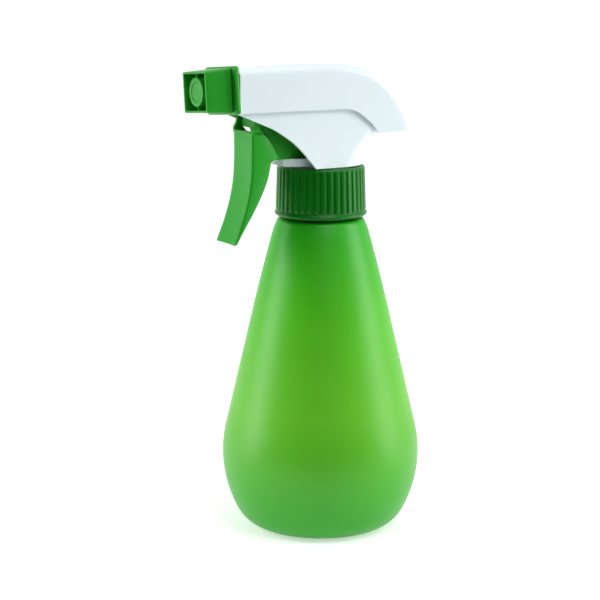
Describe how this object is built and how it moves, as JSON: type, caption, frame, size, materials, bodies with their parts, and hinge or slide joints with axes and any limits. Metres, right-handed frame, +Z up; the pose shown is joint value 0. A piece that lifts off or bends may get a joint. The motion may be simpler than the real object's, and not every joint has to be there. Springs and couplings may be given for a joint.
{
  "type": "hand mister",
  "caption": "Trigger hand mister: teardrop bottle, ribbed screw closure, piston pump under a shroud, curved trigger and square turning nozzle.",
  "frame": {"origin": "on the bottle's axis, in the plane of the ring it stands on", "axes": "+Z up along the bottle's axis; the nozzle points along -X; the object is symmetric about the XZ plane apart from the turned nozzle"},
  "size_m": [0.0966, 0.077, 0.1842],
  "materials": {
    "bottle_green": "frosted translucent green polyethylene",
    "closure_green": "satin dark green moulded polypropylene",
    "leaf_green": "satin mid green moulded polypropylene",
    "shroud_white": "satin cool white moulded polypropylene",
    "natural_plastic": "unpigmented milky polyethylene",
    "glass_ball": "polished glass",
    "spring_steel": "drawn stainless wire",
    "seal_rubber": "matt black rubber"
  },
  "bodies": {
    "bottle": {"bottle": "bottle_green"},
    "head": {"tube_connector": "shroud_white", "neck_gasket": "natural_plastic", "dip_tube": "natural_plastic", "pump_body": "leaf_green", "spinner": "natural_plastic", "outlet_spring": "spring_steel", "nozzle_seal": "seal_rubber", "shroud": "shroud_white", "return_spring": "spring_steel"},
    "closure": {"closure": "closure_green"},
    "trigger": {"trigger": "leaf_green"},
    "piston": {"piston_rod": "natural_plastic", "piston_seal": "seal_rubber", "vent_seal": "seal_rubber"},
    "nozzle": {"nozzle_cap": "leaf_green", "orifice_insert": "leaf_green"},
    "intake_ball": {"intake_ball": "glass_ball"},
    "outlet_valve": {"outlet_valve": "natural_plastic"}
  },
  "joints": [
    {"name": "head_rise", "type": "slide", "parent": "bottle", "child": "head", "axis": [0, 0, 1], "range_m": [0, 0.00635]},
    {"name": "closure_turn", "type": "hinge", "parent": "head", "child": "closure", "pos_m": [0, 0, 0.134], "axis": [0, 0, 1], "range_deg": [0, 540]},
    {"name": "trigger_pull", "type": "hinge", "parent": "head", "child": "trigger", "pos_m": [-0.0318, 0, 0.168], "axis": [0, -1, 0], "range_deg": [0, 18]},
    {"name": "piston_stroke", "type": "slide", "parent": "head", "child": "piston", "axis": [1, 0, 0], "range_m": [0, 0.00452], "stiffness_N_per_m": 700, "springref_m": -0.006, "deforming": ["return_spring"]},
    {"name": "nozzle_turn", "type": "hinge", "parent": "head", "child": "nozzle", "pos_m": [-0.05, 0, 0.174], "axis": [-1, 0, 0], "continuous": true},
    {"name": "intake_ball_lift", "type": "slide", "parent": "head", "child": "intake_ball", "axis": [0, 0, 1], "range_m": [0, 0.001]},
    {"name": "outlet_valve_lift", "type": "slide", "parent": "head", "child": "outlet_valve", "axis": [-1, 0, 0], "range_m": [0, 0.0008], "stiffness_N_per_m": 100, "springref_m": -0.002, "deforming": ["outlet_spring"]}
  ],
  "couplings": [
    {"joint": "closure_turn", "follows": "head_rise", "rad_per_m": 1484.3},
    {"joint": "trigger_pull", "follows": "piston_stroke", "rad_per_m": 69.444}
  ]
}
